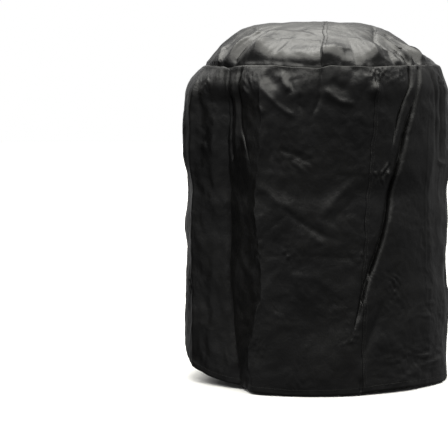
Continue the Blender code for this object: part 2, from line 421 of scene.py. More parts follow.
def skirt_base():
    """The undraped skirt: turns, heights, points, and distance from the seam; rows run down to the hem."""
    first = np.array(RING_ROWS) / RING_HEIGHT
    down = np.concatenate([first, np.linspace(0.01 / RING_HEIGHT, 1, SKIRT_ROWS + 1 - len(first))])[:, None]
    around, offset = skirt_places(RING_HEIGHT * (1 - down[:, 0]))
    turn = leant(around, RING_HEIGHT * (1 - down))
    ring_radius, ring_height = ring_line(turn)
    hem = by_turn(HEM_LINE, turn)
    height = ring_height + (hem - ring_height) * down
    drop = (ring_height - height) / SHOULDER
    swell = np.sin(np.clip(drop, 0, 1) * math.pi / 2)
    radius = ring_radius + (SKIRT_RADIUS - ring_radius) * swell
    radius += LEDGE * (smoothstep(down * RING_HEIGHT / 0.0011) - 1)
    radius -= WAIST * np.sin(math.pi * np.clip(height / (RING_HEIGHT - SHOULDER), 0, 1)) ** 2
    points = np.stack([radius * np.sin(turn), -radius * np.cos(turn), height], axis=2)
    return turn, height, points, offset


# Each fold's height, width, crispness and step up on the right of its way, in millimetres, how it fades at
# each end, and then its places
FRONT_FOLDS = (
    # Soft hanging pleats at the left shoulder
    (6, 16, 8, 0, (0.3, 0.4), (-80.3, 0.626), (-79.3, 0.555), (-78.6, 0.469), (-80.3, 0.401)),
    (-2.5, 12, 4, 0, (0.2, 0.5), (-68, 0.662), (-66, 0.607), (-64, 0.528), (-63, 0.447)),
    (6, 20, 12, 0, (0.3, 0.5), (-57.7, 0.627), (-56.7, 0.547), (-55.8, 0.426), (-56.8, 0.305)),
    (-8, 3, 0.6, 2, (0.1, 0.15), *LEFT_TUCK),
    (4, 6, 3, 0, (0.2, 0.2), (-42.8, 0.657), (-42.3, 0.607), (-41.8, 0.536), (-42.8, 0.486)),
    (-7, 3, 0.6, 1.5, (0.05, 0.5), *MIDDLE_TUCK),
    # The dark band down to the hem: tucks along its edges
    (-5, 4, 1, 0, (0.3, 0.1), *HOLLOW[2:]),
    # The swag that hangs from the ring seam
    (4, 6, 1.5, 0, (0.45, 0.25), (-29, 0.65), (-26.4, 0.632), (-22.3, 0.611), (-17.6, 0.59), (-12, 0.573),
     (-8, 0.566)),
    (3.5, 4, 1.5, 0, (0.3, 0.3), (-36.1, 0.632), (-33.6, 0.619), (-31.6, 0.613)),
    (3, 4, 1.5, 0, (0.4, 0.4), (-27.8, 0.596), (-25.2, 0.581), (-24.7, 0.566)),
    (-6, 12, 6, 0, (0.3, 0.4), (-25.8, 0.662), (-21.1, 0.64), (-18, 0.618)),
    (5, 6, 3, 0, (0.2, 0.2), (-18.1, 0.659), (-15.4, 0.637), (-13, 0.618)),
    (-4, 3, 1, 0, (0.3, 0.3), (-13.6, 0.647), (-12.5, 0.635), (-11.7, 0.622)),
    (-3, 8, 2, 0, (0.2, 0.5), (-22.6, 0.566), (-21.6, 0.535), (-21.1, 0.485), (-22.6, 0.444)),
    # The line below the crown's centre seam
    (-3.5, 4, 1, 1.5, (0, 0.3), (-0.3, 0.667), (-0.5, 0.637), (-1.1, 0.606), (-3.2, 0.581), (-5.6, 0.561)),
    (-3, 4, 2, 0, (0.3, 0.4), (-8.7, 0.618), (-9, 0.596), (-8.3, 0.576)),
    # Second swag, right of the middle
    (5, 9, 2, 0, (0.2, 0.4), (0.6, 0.632), (4.8, 0.61), (10, 0.598), (17.2, 0.6)),
    (-4, 10, 5, 0, (0.3, 0.4), (3.2, 0.647), (7.9, 0.629), (13.6, 0.622)),
    # Long crisp folds from the ring seam across the right of the front
    (-7.8, 3, 1, 1, (0.02, 0.4), *SHORT_SLANT),
    (-7.2, 3.6, 1.4, 1.5, (0.02, 0.12), *LONG_SLANT),
    (-5, 11, 5, 0, (0.3, 0.3), (29.7, 0.206), (25.8, 0.151), (20.3, 0.095), (16.8, 0.054)),
    # Broad soft planes in the middle
    (4.5, 14, 8, 0, (0.3, 0.3), (-29.8, 0.442), (-20, 0.403), (-10.4, 0.366)),
    (-3, 8, 3, 0, (0.3, 0.3), (-19.5, 0.4), (-10.4, 0.362), (1.2, 0.329), (8.8, 0.319)),
    (4.5, 12, 6, 0, (0.3, 0.3), (14.8, 0.444), (7.1, 0.405), (-0.5, 0.362)),
    (-2.5, 6, 2, 0, (0.3, 0.3), (-19, 0.507), (-10.7, 0.492), (-2.2, 0.47)),
    (1, 5, 2, 0, (0.3, 0.3), (-16.9, 0.487), (-10.7, 0.474), (-4.9, 0.456)),
    (4.2, 2.6, 0.8, 0, (0.3, 0.2), (25.9, 0.447), (28.4, 0.459), (31, 0.476)),
    (-4.5, 2.2, 0.8, 0, (0.3, 0.2), (26.9, 0.444), (29.4, 0.456), (31.9, 0.474)),
    # Right edge: hanging ripples, a nick, and horizontal wrinkles towards the hem
    (-3.5, 6, 2, 0, (0.1, 0.5), (59.1, 0.667), (61.4, 0.608), (62.8, 0.529), (62.2, 0.449)),
    (-4, 6, 2, 0, (0.1, 0.5), (66.9, 0.657), (68.3, 0.589), (68.9, 0.51), (68.5, 0.44)),
    (4, 8, 3, 0, (0.2, 0.5), (72.3, 0.648), (74.1, 0.569), (74.4, 0.471)),
    (3.5, 4, 1, 0, (0.3, 0.1), (65.1, 0.475), (70.3, 0.466), (77.7, 0.463)),
    (-3, 4, 1.5, 0, (0.3, 0.0), (17.5, 0.034), (17.9, 0.017), (17.7, 0.005)),
)


def front_folds(relief):
    """The folds of the skirt that show from the front, left to right."""
    for height, width, crisp, step, fade, *places in FRONT_FOLDS:
        relief.fold(path(*places), *np.array([height, width, crisp, step]) / 1000, fade)
    relief.bulge(at(23.4, 0.622), (0.011, 0.015), 0.013)
    relief.valley(path(*LONG_SLANT[1:-1]), 0.007, 0.005, 0.014, fade=(0.2, 0.15))
    relief.bulge(at(-2.8, 0.413), (0.7, 0.032), -0.005)
    relief.bulge(at(31, 0.451), (0.004, 0.004), 0.003)
    relief.crumple(at(64, 0.16), (0.06, 0.03), 0.004, 0.03, 41, stretch=(0.6, 0.6, 2.8))
    relief.crumple(at(50, 0.06), (0.11, 0.04), 0.0044, 0.03, 42, stretch=(0.6, 0.6, 2.8))


def hung_flat(turn, height, points):
    """How far in the cloth lies, because it hangs flat between one line and the next."""
    points = points.reshape(-1, 3)
    wander = 2.2 * noise(points * 16, 71) + 1.3 * noise(points * 45, 72)
    degrees = np.degrees(turn) + wander.reshape(turn.shape)
    lines = np.array([np.interp(height, *np.array(line)[::-1, ::-1].T) for line, _ in HANG])
    inward = np.array([deep for _, deep in HANG])
    past, ahead = (degrees - lines) % 360, (lines - degrees) % 360
    left, right = inward[np.argmin(past, axis=0)], inward[np.argmin(ahead, axis=0)]
    past, ahead = past.min(axis=0), ahead.min(axis=0)
    span = np.maximum(past + ahead, 1e-6)
    chord = FLATNESS * (1 - np.exp(-SKIRT_RADIUS * (1 - np.cos(np.radians(span / 2))) / FLATNESS))
    chord *= 0.4 + 0.6 * smoothstep(height / 0.15)
    return (left * ahead + right * past) / span + chord * (1 - (2 * past / span - 1) ** 2)


def pressed_creases(relief):
    """Creases left by the way it was folded in its bag: a rough grid of straight lines."""
    level = 0.0005
    for height, start, end in ((0.283, -27, 24), (0.283, 60, 170), (0.281, -170, -60), (0.447, 5, 34),
                               (0.443, -150, -70), (0.441, 60, 160), (0.121, 90, 175)):
        span = end - start
        line = path(*((start + span * i / 4, height + 0.003 * math.sin(2.3 * i + start)) for i in range(5)))
        relief.fold(line, -level, 0.0025, 0.001, step=level, fade=(0.12, 0.12))
    for turn, low, high in ((-11, 0.2, 0.44), (55, 0.15, 0.6), (-70, 0.12, 0.44), (92, 0.1, 0.6),
                            (128, 0.08, 0.6), (164, 0.1, 0.55), (-96, 0.15, 0.6), (-132, 0.1, 0.6),
                            (-158, 0.12, 0.5)):
        line = path(*((turn + 0.5 * math.sin(1.9 * i), low + (high - low) * i / 4) for i in range(5)))
        relief.fold(line, level, 0.0025, 0.001, step=level, fade=(0.15, 0.15))


def crumple_spots(relief):
    """Small hard wrinkles where the pressed creases cross, and below the seam's junction."""
    # Turn in degrees; then height, width, tallness, depth and grain in millimetres
    spots = (
        (24.8, 655, 22, 16, 7.5, 10), (26.8, 447, 26, 16, 5, 10), (18.2, 284, 34, 11, 3.2, 11),
        (-26.9, 286, 14, 10, 3.5, 10), (-13.8, 286, 12, 10, 3.5, 10), (-11.2, 482, 40, 24, 3, 18),
        (35.5, 220, 20, 22, 3.5, 14), (-27.2, 95, 16, 24, 4, 13), (14.2, 121, 14, 20, 3.5, 12),
        (-34.1, 647, 30, 18, 4, 13), (-15.4, 655, 40, 12, 3, 12), (-63.9, 642, 30, 22, 3.5, 13),
        (37.1, 652, 20, 14, 3, 12), (70.7, 638, 30, 20, 3.5, 13), (92, 441, 24, 18, 4, 12),
        (128, 283, 28, 18, 4, 12), (164, 441, 24, 18, 4, 12), (-96, 281, 26, 18, 4, 12),
        (-132, 443, 26, 18, 4, 12), (-72.6, 207, 24, 24, 3, 14), (110, 100, 50, 30, 3.5, 16),
        (-120, 130, 50, 30, 3.5, 16),
    )
    for i, (turn, *sizes) in enumerate(spots):
        height, wide, tall, deep, grain = np.array(sizes) / 1000
        relief.crumple(at(turn, height), (wide, tall), deep, grain, 60 + i)


def side_and_back_folds(relief):
    """Hanging and slanting folds where the front view doesn't reach, in the same manner as the front's."""
    rng = np.random.default_rng(17)
    for turn in np.arange(86, 278, 13.0):
        turn = turn + rng.uniform(-4, 4)
        top = rng.uniform(0.6, 0.66)
        foot = rng.uniform(0.3, 0.5)
        drift = rng.uniform(-5, 5)
        line = path((turn, top), (turn + 0.2 * drift, top * 0.6 + foot * 0.4), (turn + drift, foot))
        relief.fold(line, rng.choice([-1, 1]) * rng.uniform(0.004, 0.007), rng.uniform(0.006, 0.015),
                    rng.uniform(0.0015, 0.006), fade=(0.1, 0.5))
    for turn, slant, top, foot, deep in ((98, -22, 0.62, 0.16, -0.009), (150, 18, 0.6, 0.1, -0.008),
                                         (188, -20, 0.64, 0.22, -0.009), (236, 14, 0.56, 0.05, -0.01),
                                         (262, -12, 0.48, 0.12, -0.006)):
        line = path(*((turn + slant * s * s, top + (foot - top) * s) for s in (0, 0.25, 0.5, 0.75, 1)))
        relief.fold(line, deep, 0.01, 0.003, step=0.003, fade=(0.1, 0.2))
    for turn, low, high in ((110, 0.02, 0.3), (171, 0.01, 0.26), (214, 0.01, 0.34), (250, 0.05, 0.3)):
        relief.fold(path((turn, high), (turn + 2, (low + high) / 2), (turn - 1, low)), -0.01, 0.018, 0.008,
                    fade=(0.5, 0.0))
    for turn, height, lean in ((104, 0.5, 30), (140, 0.4, -35), (176, 0.35, 30), (205, 0.5, -30),
                               (232, 0.42, 35), (258, 0.36, -30)):
        relief.bulge(at(turn, height), (0.1, 0.025), 0.005, lean)


def gathers(relief, turn, below, seed):
    """Small upright puckers where the cloth is eased into the ring seam, which is this far away."""
    circle = np.stack([np.cos(turn), np.sin(turn), 0 * turn], axis=-1).reshape(-1, 3)
    narrow = crumpled(circle * RING_RADIUS, 0.016, seed) - 0.4
    wide = noise(circle * 9, seed + 1)
    distance = below.ravel()
    fades = np.exp(-distance / 0.014) * (1 - np.exp(-distance / 0.003))
    relief.height += fades * (0.003 * narrow + 0.004 * wide)


def skirt_surface():
    """Points of the draped skirt, their flat coordinates and the normals, once round from the front seam."""
    turn, height, base, offset = skirt_base()
    relief = Relief(turn * SKIRT_RADIUS, height, base, girth=2 * math.pi * SKIRT_RADIUS)
    relief.all_over(0.009, 0.16, 3, stretch=(1, 1, 0.35))
    relief.all_over(0.0052, 0.1, 4)
    relief.all_over(0.0011, 0.036, 7)
    relief.all_over(-0.003, 0.14, 8, creased=True)
    relief.all_over(0.0009, 0.055, 5, creased=True)
    relief.all_over(0.0013, 0.034, 9, creased=True, patch=0.1)
    relief.all_over(0.0009, 0.017, 6, creased=True, patch=0.06)
    below = base[0, :, 2] - height
    relief.height -= (hung_flat(turn, height, base) * smoothstep(below / 0.08)).ravel()
    front_folds(relief)
    side_and_back_folds(relief)
    pressed_creases(relief)
    crumple_spots(relief)
    gathers(relief, turn, below, 31)
    pucker = puckered(np.stack([height / 0.012, offset * 0 + 3, np.cos(turn)], axis=-1), 51)
    seam = felled(offset, pucker) * smoothstep((below - 0.001) / 0.004)
    held = smoothstep((below + 0.002) / 0.014)
    points = base + normals_round(base) * (relief.grid() * held + seam)[..., None]
    flat = np.stack([turn * SKIRT_RADIUS, height], axis=2)
    return points, flat


# ---- the crown


# Upright streaks in the crown's standing edge
STREAK_TURNS = np.linspace(-math.pi, math.pi, 1441)
STREAKS = crumpled(
    RING_RADIUS * np.stack([np.cos(STREAK_TURNS), np.sin(STREAK_TURNS), 0 * STREAK_TURNS], axis=1), 0.024, 26
) - 0.5


def crown_height(x, y):
    """The slack crown over a place in plan, and how far out its side bellies there."""
    turn = np.arctan2(x, -y)
    ring_radius, ring_height = ring_line(turn)
    ring_radius = ring_radius - LEDGE
    out = np.hypot(x, y)
    inward = np.maximum(ring_radius - out, 0)
    near_rim = np.exp(-((inward / 0.045) ** 2))
    dome_radius = RING_RADIUS - 0.003 + (ring_radius - RING_RADIUS + 0.003) * near_rim
    dome = CROWN_RISE * (1 - np.minimum(out / dome_radius, 1) ** FULLNESS) ** EDGE
    stand = by_turn(RIM_STAND, turn)
    streaks = np.interp(turn, STREAK_TURNS, STREAKS)
    stand = stand * (1.12 + 0.24 * streaks)
    rise = (1 - np.exp(-inward / (0.0043 + 0.0036 * streaks))) * np.exp(-((inward / 0.055) ** 2))
    belly = 0.06 * stand * np.exp(-(((inward - 0.004) / 0.004) ** 2))
    return RING_HEIGHT + (ring_height - RING_HEIGHT) * near_rim + dome + stand * rise, belly


def crown_plan():
    """Plan of the crown's columns, once round from its front seam: from the rim in to a short middle line."""
    front = np.arcsin(np.array(SEAM_COLUMNS) / RING_RADIUS)
    side = np.linspace(front[-1], math.pi - front[-1], CROWN_COLUMNS + 2)[1:-1]
    other = np.linspace(math.pi - front[0], 2 * math.pi + front[0], CROWN_COLUMNS + 2)[1:-1]
    back = (math.pi - front)[::-1]
    turns = np.concatenate([front[SEAM:], side, back, other, 2 * math.pi + front[:SEAM]])
    ring_radius = ring_line(turns)[0] - LEDGE
    rim = np.stack([ring_radius * np.sin(turns), -ring_radius * np.cos(turns)], axis=1)
    middle = np.stack([np.clip(rim[:, 0], SEAM_COLUMNS[0], SEAM_COLUMNS[-1]), 0 * turns], axis=1)
    share = np.linspace(0, 1, CROWN_ROWS + 1)[:, None, None] ** RIM_CROWDING
    back_seam = len(front[SEAM:]) + len(side) + len(front) - 1 - SEAM
    return rim + (middle - rim) * share, back_seam


# The same for the crown, with places in plan: millimetres to the right of the middle, and behind it
CROWN_FOLDS = (
    # The lid's edge underneath: a curved ridge, then the line behind it
    (3, 7, 2, 0, (0.02, 0.2), (-170, -171), (-146, -151), (-136, -135), (-121, -123), (-103, -110),
     (-74, -130), (-48, -148), (-29, -163), (-3, -173)),
    (3.5, 12, 3, -1.5, (0.3, 0.1), (-133, -43), (-133, -86), (-136, -63), (-136, -120)),
    (2.2, 5, 2, 0, (0.3, 0.05), (-100, -160), (-84, -171), (-35, -194), (-2, -202)),
    (1.5, 7, 3, 0, (0.1, 0.4), (5, -168), (45, -177), (90, -175)),
    # Right of the middle
    (-4.5, 9, 1.5, -2, (0.2, 0.15), (116, -38), (112, -82), (112, -110), (112, -148), (119, -180)),
    (-3, 4, 1, 0, (0.3, 0.3), (131, -95), (141, -102), (149, -107)),
    (-3, 7, 1.5, 0, (0.2, 0.3), (149, -187), (164, -156), (179, -121)),
    (-3, 5, 1, 0, (0.2, 0.2), (193, -76), (200, -93), (212, -108)),
    (4, 4, 1.5, 0, (0.3, 0.0), (57, -224), (48, -235), (37, -247)),
    (4, 6, 2, 0, (0.1, 0.4), (120, -216), (131, -195), (137, -171)),
    # The two long slanting folds of the skirt start in the crown
    (-8, 3.5, 1, 0, (0, 0.7), (186.2, -189.4), (175, -178), (164.7, -167.6)),
    (-10, 5, 1, 0, (0, 0.7), (208.7, -163), (190, -148.5), (169.4, -132.4)),
    # Left edge: a narrow tuck that runs down over the ring seam
    (5, 6, 2, 0, (0.4, 0.0), (-188, -91), (-201, -77), (-206, -121)),
    # Back half
    (3.5, 8, 3, 0, (0.2, 0.2), (-150, 50), (-120, 120), (-60, 170), (20, 190), (90, 170)),
    (-4, 9, 2, 2, (0.2, 0.2), (60, 60), (100, 110), (160, 150)),
    (-4, 8, 2, -2, (0.2, 0.2), (-50, 80), (-90, 150), (-110, 215)),
    (3.5, 7, 2, 0, (0.2, 0.2), (150, 20), (190, 50), (225, 60)),
    (-3.5, 7, 2, 0, (0.2, 0.2), (-170, 10), (-205, 30), (-235, 70)),
)


def crown_folds(relief):
    """The folds of the crown, and where its top is high or falls away."""
    for height, width, crisp, step, fade, *places in CROWN_FOLDS:
        relief.fold(np.array(places) / 1000, *np.array([height, width, crisp, step]) / 1000, fade)
    # The top is high at the left, and falls away at the right
    relief.bulge((-0.135, 0.01), (0.055, 0.11), 0.011)
    relief.bulge((0.215, -0.01), (0.055, 0.12), -0.011)


def crown_surface():
    """Points of the slack crown from the rim inwards, their flat coordinates, and the back seam's column."""
    plan, back_seam = crown_plan()
    x, y = plan[..., 0], plan[..., 1]
    height, belly = crown_height(x, y)
    small = 0.0004
    slope_x = (crown_height(x + small, y)[0] - crown_height(x - small, y)[0]) / (2 * small)
    slope_y = (crown_height(x, y + small)[0] - crown_height(x, y - small)[0]) / (2 * small)
    normal = np.stack([-slope_x, -slope_y, np.ones_like(x)], axis=2)
    normal /= np.linalg.norm(normal, axis=2, keepdims=True)
    base = np.stack([x, y, height], axis=2)
    relief = Relief(x, y, base)
    relief.all_over(0.009, 0.12, 13)
    relief.all_over(0.0035, 0.05, 14)
    relief.all_over(0.0014, 0.05, 15, creased=True)
    relief.all_over(0.0009, 0.022, 16, creased=True, patch=0.09)
    crown_folds(relief)
    from_rim = np.linalg.norm(base - base[0], axis=2)
    gathers(relief, np.arctan2(x, -y), from_rim, 33)
    pucker = puckered(np.stack([y / 0.012, 0 * y + 5, 0 * y], axis=-1), 52)
    seam = felled(x, pucker) * smoothstep((from_rim - 0.001) / 0.004)
    held = smoothstep((from_rim + 0.002) / 0.012)
    outwards = np.stack([x, y, 0 * x], axis=2) / np.maximum(np.hypot(x, y), 1e-6)[..., None]
    points = base + outwards * belly[..., None] + normal * (relief.grid() * held + seam)[..., None]
    slip = CROWN_SLIP + 0.002 * np.sin(y / 0.017) + 0.0016 * np.sin(y / 0.0075)
    points[..., 0] += slip * (1 - (np.hypot(x, y) / RING_RADIUS) ** 2).clip(0)
    return points, plan, back_seam


# ---- meshes


def new_object(name, data, material=None):
    thing = bpy.data.objects.new(name, data)
    if material:
        data.materials.append(material)
    bpy.context.scene.collection.objects.link(thing)
    return thing


def grid_object(name, points, flat, material, thickness=CLOTH):
    """A sheet from a grid whose columns run to the right and rows down, given its thickness on the inside."""
    rows, columns = points.shape[:2]
    index = np.arange(rows * columns).reshape(rows, columns)
    corners = np.stack([index[:-1, :-1], index[1:, :-1], index[1:, 1:], index[:-1, 1:]], axis=2)
    corners = corners.reshape(-1, 4)
    mesh = bpy.data.meshes.new(name)
    mesh.from_pydata(points.reshape(-1, 3), [], corners)
    layer = mesh.uv_layers.new(name=UV)
    layer.data.foreach_set("uv", flat.reshape(-1, 2)[corners.ravel()].ravel().astype(np.float32))
    edit = bmesh.new()
    edit.from_mesh(mesh)
    bmesh.ops.remove_doubles(edit, verts=edit.verts, dist=0.00002)
    edit.to_mesh(mesh)
    edit.free()
    mesh.shade_smooth()
    piece = new_object(name, mesh, material)
    shell = piece.modifiers.new("thickness", "SOLIDIFY")
    shell.thickness = thickness
    shell.offset = -1
    with bpy.context.temp_override(object=piece, active_object=piece):
        bpy.ops.object.modifier_apply(modifier=shell.name)
    return piece


def tucked(points, flat, axis, last):
    """The grid with one more row or column, turned inside at the seam."""
    edge = -1 if last else 0
    normal = np.take(normals_of(points), [edge], axis)
    inner = np.take(points, [edge], axis) - TUCK * normal
    grown = (points, inner), (flat, np.take(flat, [edge], axis))
    return [np.concatenate(pair if last else pair[::-1], axis) for pair in grown]


def with_hem(points, flat):
    """The skirt's grid with its lowest rows repeated upside down inside it, as a turned-up hem."""
    normal = normals_of(points)
    inner = points - HEM_GAP * normal
    edge = (points[-1:] + inner[-1:]) / 2 - np.array([0, 0, 0.0004])
    rows = slice(None, -2 - HEM_ROWS, -1)
    return np.concatenate([points, edge, inner[rows]]), np.concatenate([flat, flat[-1:], flat[rows]])


def row_between(points, normal, position):
    """Points and normals along a line part of the way between two rows of a grid."""
    low = int(position)
    share = position - low
    return [grid[low] * (1 - share) + grid[low + 1] * share for grid in (points, normal)]


def stitch_row(name, line, normal, material, closed=False):
    """Short raised stitches along a line on the cloth."""
    if closed:
        line, normal = (np.concatenate([a, a[:1]]) for a in (line, normal))
    lengths = np.concatenate([[0], np.cumsum(np.linalg.norm(np.diff(line, axis=0), axis=1))])
    count = int(lengths[-1] / STITCH_PITCH)
    places = (np.arange(count) + 0.5) * lengths[-1] / count
    reach = STITCH_PITCH * STITCH_REACH

    def at_length(values, where):
        return np.stack([np.interp(where, lengths, values[:, k]) for k in range(3)], axis=1)

    start, end = at_length(line, places - reach), at_length(line, places + reach)
    up = at_length(normal, places)
    along = end - start
    side = np.cross(up, along)
    side /= np.linalg.norm(side, axis=1, keepdims=True)
    up = np.cross(along, side)
    up /= np.linalg.norm(up, axis=1, keepdims=True)
    stations = np.linspace(-1, 1, 5)
    angles = np.arange(6) * math.pi / 3
    points = []
    for station in stations:
        thick = THREAD * math.sqrt(1 - (0.92 * station) ** 2)
        lift = THREAD * (0.55 - 1.1 * station**2)
        centre = (start + end) / 2 + along * station / 2 + up * lift
        for angle in angles:
            points.append(centre + up * thick * math.sin(angle) + side * thick * math.cos(angle))
    points = np.stack(points, axis=1).reshape(-1, 3)
    rings, sides = len(stations), len(angles)
    faces = [
        [(ring + down) * sides + (k + on) % sides for down, on in ((0, 0), (0, 1), (1, 1), (1, 0))]
        for ring in range(rings - 1)
        for k in range(sides)
    ]
    faces += [list(range(sides))[::-1], list(range((rings - 1) * sides, rings * sides))]
    mesh = bpy.data.meshes.new(name)
    shift = rings * sides
    all_faces = [[corner + shift * i for corner in face] for i in range(count) for face in faces]
    mesh.from_pydata(points, [], all_faces)
    edit = bmesh.new()
    edit.from_mesh(mesh)
    bmesh.ops.recalc_face_normals(edit, faces=edit.faces)
    edit.to_mesh(mesh)
    edit.free()
    mesh.shade_smooth()
    return new_object(name, mesh, material)


def tape_under(name, points, normal, material):
    """Binding tape that lies under this strip of the cloth's grid."""
    lengths = np.concatenate([[0], np.cumsum(np.linalg.norm(np.diff(points[:, 0], axis=0), axis=1))])
    across = np.linspace(0, TAPE_WIDTH, points.shape[1])
    flat = np.stack(np.broadcast_arrays(across[None, :], lengths[:, None]), axis=2)
    return grid_object(name, points - TAPE_DEPTH * normal, flat, material, TAPE)


# ---- materials


class Nodes:
    """The node tree of a material or of the world, built with short calls."""

    def __init__(self, owner):
        owner.use_nodes = True
        self.owner = owner
        self.tree = owner.node_tree

    def add(self, kind, inputs=None, **settings):
        node = self.tree.nodes.new(kind)
        for key, value in settings.items():
            setattr(node, key, value)
        for key, value in (inputs or {}).items():
            if isinstance(value, bpy.types.NodeSocket):
                self.tree.links.new(value, node.inputs[key])
            else:
                node.inputs[key].default_value = value
        return node

    def noise(self, place, scale, detail=3.0, roughness=0.55, distortion=0.0):
        inputs = {"Vector": place, "Scale": scale, "Detail": detail}
        inputs |= {"Roughness": roughness, "Distortion": distortion}
        return self.add("ShaderNodeTexNoise", inputs).outputs["Fac"]

    def ramp(self, value, low, high, to_low, to_high, **settings):
        inputs = {"Value": value, 1: low, 2: high, 3: to_low, 4: to_high}
        return self.add("ShaderNodeMapRange", inputs, **settings).outputs[0]

    def maths(self, operation, first, second=0.0):
        return self.add("ShaderNodeMath", {0: first, 1: second}, operation=operation).outputs[0]

    def mix(self, share, first, second):
        inputs = {"Factor": share, 6: first, 7: second}
        return self.add("ShaderNodeMix", inputs, data_type="RGBA").outputs[2]

    def bump(self, height, distance, strength=1.0, after=None):
        inputs = {"Height": height, "Distance": distance, "Strength": strength}
        if after:
            inputs["Normal"] = after
        return self.add("ShaderNodeBump", inputs).outputs["Normal"]

    def connect(self, node, **outputs):
        """Links outputs to the inputs of a named node; an input's name has _ for each space."""
        for name, output in outputs.items():
            self.tree.links.new(output, self.tree.nodes[node].inputs[name.replace("_", " ")])
        return self.owner


def surface(name, roughness, specular=0.5):
    """The nodes of a new material whose shader has this roughness, and the place on the object."""
    nodes = Nodes(bpy.data.materials.new(name))
    shader = nodes.tree.nodes["Principled BSDF"]
    shader.inputs["Roughness"].default_value = roughness
    shader.inputs["Specular IOR Level"].default_value = specular
    return nodes, nodes.add("ShaderNodeTexCoord").outputs["Object"]


def weave(nodes, pitch):
    """Height of a plain weave at this pitch, from the cloth's flat coordinates in metres."""
    place = nodes.add("ShaderNodeUVMap", uv_map=UV).outputs["UV"]
    waves = []
    for direction in ("X", "Y"):
        inputs = {"Vector": place, "Scale": 0.314 / pitch, "Distortion": 0.0}
        wave = nodes.add("ShaderNodeTexWave", inputs, wave_type="BANDS", bands_direction=direction)
        waves.append(wave.outputs["Fac"])
    return nodes.maths("MAXIMUM", *waves)


def cloth_material():
    """Black polyester with a thin coat: fine weave, small creases, and a dull shine that varies."""
    nodes, place = surface("coated_cloth", 0.4)
    creases = nodes.noise(place, 42.0, 4.0, 0.62, 0.8)
    grain = nodes.noise(place, 210.0, 2.0)
    patches = nodes.noise(place, 9.0, 3.0)
    mottled = nodes.ramp(patches, 0.35, 0.65, 0, 1)
    colour = nodes.mix(mottled, (0.002, 0.002, 0.0022, 1), (0.0034, 0.0033, 0.0032, 1))
    dull = nodes.ramp(nodes.maths("ADD", patches, nodes.maths("MULTIPLY", grain, 0.5)), 0.45, 1.05, 0.3, 0.41)
    normal = nodes.bump(creases, 0.0016, 0.5)
    normal = nodes.bump(grain, 0.0004, 0.6, normal)
    normal = nodes.bump(weave(nodes, 0.0007), 0.0001, 0.5, normal)
    return nodes.connect("Principled BSDF", Base_Color=colour, Roughness=dull, Normal=normal)


def tape_material():
    """Ribbed binding tape."""
    nodes, place = surface("binding_tape", 0.8, 0.3)
    fluff = nodes.noise(place, 300.0, 3.0)
    colour = nodes.mix(fluff, (0.012, 0.012, 0.012, 1), (0.028, 0.027, 0.026, 1))
    normal = nodes.bump(weave(nodes, 0.0012), 0.0003, 0.8)
    return nodes.connect("Principled BSDF", Base_Color=colour, Normal=normal)


def thread_material():
    nodes, place = surface("sewing_thread", 0.5)
    fluff = nodes.noise(place, 900.0, 2.0)
    colour = nodes.mix(fluff, (0.007, 0.007, 0.007, 1), (0.018, 0.018, 0.017, 1))
    return nodes.connect("Principled BSDF", Base_Color=colour, Normal=nodes.bump(fluff, 0.0002, 0.6))


def floor_material():
    nodes, place = surface("studio_floor", 0.9, 0.1)
    tint = nodes.noise(place, 3.0, 2.0)
    colour = nodes.mix(tint, (0.86, 0.86, 0.86, 1), (0.9, 0.9, 0.9, 1))
    return nodes.connect("Principled BSDF", Base_Color=colour)


# ---- assembly


def ride(piece, slot, *nodes):
    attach(piece, "root")
    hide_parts(*nodes)


def sewn_panel(name, points, flat, ring_is_last, cloth, stands_for):
    """A panel with its edges turned in at the ring seam and at both of its other seams."""
    panel = tucked(points, flat, 0, ring_is_last)
    for last in (False, True):
        panel = tucked(*panel, 1, last)
    piece = grid_object(name, *panel, cloth)
    ride(piece, "coated_cloth", stands_for)
    return piece


def sewn_stitches(name, line, sewing, stands_for, closed=False):
    piece = stitch_row(name, *line, sewing, closed)
    ride(piece, "sewing_thread", stands_for)
    return piece


def make_skirt(cloth, tape, sewing):
    points, flat = skirt_surface()
    normal = normals_round(points)
    columns = points.shape[1]
    half = columns // 2
    seams = (("front", 0), ("back", half))
    pieces = {}
    for side, first in (("right", 0), ("left", half)):
        index = np.arange(first, first + half + 1) % columns
        panel = with_hem(points[:, index], unrolled(flat[:, index]))
        pieces[side] = sewn_panel(f"skirt_{side}", *panel, False, cloth, f"skirt_panel_{side}")
    threads = []
    for name, seam in seams:
        for row, column in STITCHED.items():
            line = [grid[SEAM_STITCHES_FROM:-HEM_ROWS, seam + column] for grid in (points, normal)]
            node = f"skirt_{name}_seam_stitching"
            threads.append(sewn_stitches(f"skirt_{name}_seam_stitches_{row}", line, sewing, node))
    for name, row in (("crown_ring", RING_STITCH_ROW), ("hem", HEM_STITCH_ROW)):
        line = row_between(points, normal, row)
        threads.append(sewn_stitches(f"{name}_stitches", line, sewing, f"{name}_stitching", closed=True))
    for name, seam in seams:
        strip = [grid[SEAM_TAPE_ROWS, (seam + TAPED) % columns] for grid in (points, normal)]
        seam_tape = tape_under(f"skirt_{name}_seam_tape", *strip, tape)
        ride(seam_tape, "binding_tape", f"skirt_{name}_seam_binding")
    ring = (points - TAPE_DEPTH * normal)[RING_TAPE_ROWS]
    ring = np.concatenate([ring, ring[:, :1]], axis=1)
    once_round = [2 * math.pi * SKIRT_RADIUS, 0]
    ring_flat = np.concatenate([flat, flat[:, :1] + once_round], axis=1)[RING_TAPE_ROWS]
    ring_tape = grid_object("crown_ring_tape", ring, ring_flat, tape, TAPE)
    ride(ring_tape, "binding_tape", "crown_ring_binding")
    return pieces, threads


def unrolled(flat):
    """Flat coordinates whose turn runs on without a jump."""
    flat = flat.copy()
    flat[..., 0] = np.unwrap(flat[..., 0], axis=1, period=2 * math.pi * SKIRT_RADIUS)
    return flat


